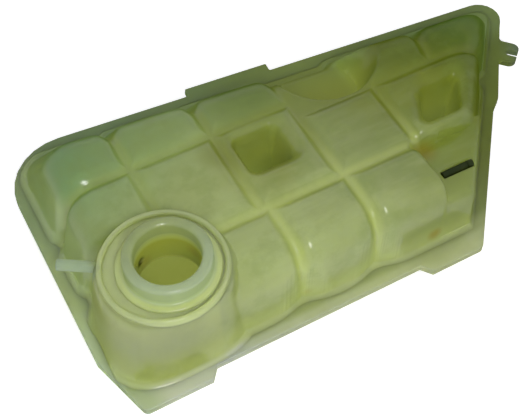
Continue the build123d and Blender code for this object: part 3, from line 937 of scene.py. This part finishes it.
def lay_seam_tones(finish, seam, hollow):
    """Pale seams, darker to the back, partly their tint and partly painted light against the shade in the
    grooves; a cloudy mottle over all, and olive pockets and scoop.
    """
    # Seam colour: partly their tint, partly painted light that lifts the shade in the grooves.
    back = finish.blend(finish.span("x", -90, -60), SEAM_TINT_PAINTED_LIGHT_BACK_LEFT, SEAM_TINT_PAINTED_LIGHT_BACK_RIGHT)
    finish.tint(finish.blend(finish.span("y", -45, 5), SEAM_TINT_PAINTED_LIGHT_FRONT, back), finish.times(seam, 0.45))
    finish.tint(MOTTLE, finish.ramp(finish.marks["Mottle"], 0.2, 1.0, 0.0, 0.22))
    finish.tint(HOLLOW_OLIVE, finish.times(hollow, 0.7))


def lay_neck_tones(finish, bore):
    """Painted shade on the pedestal, olive toward its foot; painted light in the recess inside the ring;
    pale neck and tube, lighter at the neck's front and darker at its back by painted light and shade; olive
    bore; painted light on the sleeve's end.
    """
    # Painted shade: the pedestal's front and left darkened to grey, olive toward its foot.
    pedestal = finish.blend(finish.span("z", 70, 45), PEDESTAL_SHADE_GREY, PEDESTAL_SHADE_OLIVE)
    pedestal_shade_mask = finish.zone(finish.patch(finish.where, *PEDESTAL_SHADE_PATCH), ("z", 35, 37.5))
    finish.tint(pedestal, pedestal_shade_mask)
    finish.tint(SEAM_STAIN, finish.patch(finish.where, *SEAM_PATCH))
    # Painted light: a paler band in the recess inside the ring, where shade falls.
    recess = finish.zone(0.8, ("from collar", 35.8, 35), ("z", 93.5, 91.5), ("z", 86, 88.5))
    finish.tint(RECESS_PAINTED_LIGHT, recess)
    neck = finish.zone(finish.span("y", -35, -70, 0.5, 0.75), ("from neck", 26.5, 24.5), ("z", 88.5, 91.5))
    tube = finish.zone(1.0, ("x", -160, -168), ("z", 76, 80), ("y", -44, -40))
    # The neck's pale tint, with painted light at its front and painted shade at its back.
    neck_light_and_shade = finish.blend(finish.span("y", -70, -35), NECK_FRONT_TINT_AND_LIGHT, NECK_BACK_TINT_AND_SHADE)
    fittings_tint = finish.blend(tube, neck_light_and_shade, TUBE_PALE)
    finish.tint(fittings_tint, finish.greatest(neck, finish.times(tube, 0.95)))
    finish.tint(BORE_OLIVE, finish.times(bore, 0.85))
    # Painted light: a pale line along the sleeve's lower end inside the bore.
    sleeve_end_painted_light = finish.zone(0.8, ("from neck", 21.5, 21), ("z", 72.5, 70.5), ("z", 68, 69))
    finish.tint(SLEEVE_END_PAINTED_LIGHT, sleeve_end_painted_light)


def painted_glow_through_walls(finish, seam, hollow, bore):
    """Painted glow in hollows, seams, bore, foot and floor: emission standing in for the light that comes
    through the walls.
    """
    floor = finish.zone(1.0, ("from floor glow", 75, 30), ("z", 1, 2))
    foot = finish.zone(finish.tone("foot"), ("z", 60, 40))
    glow = finish.total(
        finish.times(hollow, finish.span("x", 30, 50, 0.08, 0.115)),
        finish.times(seam, 0.006),
        finish.times(bore, finish.span("z", 88, 70, 0.062, 0.1)),
        finish.times(floor, 0.26),
        finish.times(foot, finish.span("across", 90, -100, 0.01, 0.035)),
    )
    return glow, finish.blend(floor, WALL_PAINTED_GLOW, FLOOR_PAINTED_GLOW)


def aged_plastic():
    """Aged translucent plastic: waxy, stained, unevenly yellowed, with painted light, shade, sheen and
    glow, and glints where it faces the eye.
    """
    finish = Finish("aged_tank_plastic", 16.0)
    measure_tank(finish)
    hollow = finish.tone("hollow")
    seam = finish.ramp(finish.tone("seam"), 0.3, 1.0)
    bore = finish.zone(1.0, ("from neck", 19.5, 18), ("z", 93.5, 86))
    lay_plain_tones(finish, seam)
    lay_edge_tones(finish)
    lay_seam_tones(finish, seam, hollow)
    lay_neck_tones(finish, bore)
    for spot in BROWN_SPOTS:
        finish.tint(BROWN, finish.patch(finish.where, *spot))
    # Painted shade: a dark patch at the overflow hole, kept clear of the glow and the coat.
    overflow_hole = finish.patch(finish.where, *HOLE_SHADE_PATCH)
    finish.tint(HOLE_PAINTED_SHADE, finish.times(overflow_hole, 0.95))
    clear_of_hole = finish.ramp(overflow_hole, 0.7, 0.1)
    glow, glow_tint = painted_glow_through_walls(finish, seam, hollow, bore)
    facing = finish.add("ShaderNodeLayerWeight", {"Blend": 0.5}).outputs["Facing"]
    gloss = finish.times(finish.ramp(facing, 0.75, 0.4), finish.span("across", 60, -30, 0.4, 1.0))
    finish.join("Base Color", finish.colour)
    finish.join("Emission Color", finish.blend(finish.times(glow, clear_of_hole), NO_LIGHT, glow_tint))
    finish.join("Roughness", finish.ramp(finish.marks["Mottle"], 0.0, 1.0, 0.38, 0.52))
    finish.join("Coat Weight", finish.times(gloss, clear_of_hole))
    finish.shader.subsurface_method = "BURLEY"
    finish.settle({
        "Emission Strength": 1.0,
        "IOR": 1.4,
        "Specular IOR Level": 0.0,
        "Coat IOR": 1.4,
        "Coat Roughness": 0.17,
        "Subsurface Weight": 0.9,
        "Subsurface Radius": (1.0, 1.0, 0.4),
        "Subsurface Scale": 18.0 * MM,
    })
    finish.rough_up(0.06, 0.4)
    return finish.material


def dark_pin_finish():
    """Dark matte plastic of the pin, a little scuffed."""
    finish = Finish("dark_pin_plastic", 120.0)
    finish.join("Base Color", finish.blend(finish.times(finish.marks["Mottle"], 0.5), PIN_DARK, PIN_SCUFF))
    finish.join("Roughness", finish.ramp(finish.marks["Scratch"], 0.0, 1.0, 0.45, 0.65))
    finish.settle({"Specular IOR Level": 0.15})
    finish.rough_up(0.15, 0.3)
    return finish.material


def dress(piece, material):
    """Gives a piece one material."""
    piece.data.materials.clear()
    piece.data.materials.append(material)


handling = handling_group()
plastic = aged_plastic()
for piece in (*upper_pieces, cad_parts["lower_half"]):
    dress(piece, plastic)
dress(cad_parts["sensor_pin"], dark_pin_finish())

# Studio and the photograph's camera: places in metres, focal length in pixels, sensor in millimetres
WHITE = (1.0, 1.0, 1.0, 1.0)
FLOOR_HALF = 4.0
FLOOR_COLOUR = (0.9, 0.9, 0.9, 1.0)
FLOOR_ROUGHNESS = 0.9
FLOOR_GLOW = 0.55
WORLD_LIGHT = 0.58
LAMP_PLACE = (-0.20, -0.42, 0.48)
LAMP_TARGET = (-0.02, -0.01, 0.06)
LAMP_WATTS = 1.6
LAMP_SIZE = 0.15
CAMERA_PLACE = (-0.22167, -0.32295, 0.53016)
CAMERA_PITCH = math.radians(54.38)
CAMERA_TURN = math.radians(28.6)
FOCAL_PIXELS = 1000.0
PHOTO_WIDTH = 520.0
SENSOR_WIDTH = 36.0


def shown_white(nodes):
    """One for rays from the camera or sent on by gloss and glass, and nought for light on the object."""
    path = nodes.add("ShaderNodeLightPath").outputs
    return nodes.greatest(path["Is Camera Ray"], path["Is Glossy Ray"], path["Is Transmission Ray"])


def white_floor():
    """A pale floor that looks white and keeps the object's shadow."""
    h = FLOOR_HALF
    mesh = bpy.data.meshes.new("floor")
    mesh.from_pydata([(-h, -h, 0), (h, -h, 0), (h, h, 0), (-h, h, 0)], [], [(0, 1, 2, 3)])
    floor = new_object(mesh)
    material = bpy.data.materials.new("floor_white")
    material.use_nodes = True
    nodes = Nodes(material.node_tree)
    shader = nodes.tree.nodes["Principled BSDF"]
    shader.inputs["Base Color"].default_value = FLOOR_COLOUR
    shader.inputs["Roughness"].default_value = FLOOR_ROUGHNESS
    shader.inputs["Emission Color"].default_value = WHITE
    nodes.tree.links.new(nodes.times(shown_white(nodes), FLOOR_GLOW), shader.inputs["Emission Strength"])
    dress(floor, material)


def soft_light():
    """An even white world, and a small soft lamp beside the camera for the glints."""
    world = bpy.data.worlds.new("studio")
    world.use_nodes = True
    nodes = Nodes(world.node_tree)
    background = nodes.tree.nodes["Background"].inputs
    background["Color"].default_value = WHITE
    nodes.tree.links.new(nodes.ramp(shown_white(nodes), 0.0, 1.0, WORLD_LIGHT, 1.0), background["Strength"])
    bpy.context.scene.world = world
    light = bpy.data.lights.new("lamp", "AREA")
    light.energy = LAMP_WATTS
    light.size = LAMP_SIZE
    lamp = new_object(light)
    lamp.location = LAMP_PLACE
    lamp.rotation_euler = (Vector(LAMP_TARGET) - lamp.location).to_track_quat("-Z", "Y").to_euler()


def photo_camera():
    """The photograph's camera: its place, its turn to the right and its pitch downward."""
    flat = math.cos(CAMERA_PITCH)
    forward = Vector((math.sin(CAMERA_TURN) * flat, math.cos(CAMERA_TURN) * flat, -math.sin(CAMERA_PITCH)))
    right = Vector((math.cos(CAMERA_TURN), -math.sin(CAMERA_TURN), 0.0))
    turn = Matrix((right, right.cross(forward), -forward)).transposed()
    lens = bpy.data.cameras.new("camera")
    lens.sensor_fit = "HORIZONTAL"
    lens.sensor_width = SENSOR_WIDTH
    lens.lens = FOCAL_PIXELS / PHOTO_WIDTH * SENSOR_WIDTH
    camera = new_object(lens)
    camera.matrix_world = Matrix.Translation(CAMERA_PLACE) @ turn.to_4x4()
    bpy.context.scene.camera = camera


white_floor()
soft_light()
photo_camera()
bpy.context.scene.view_settings.view_transform = "Standard"
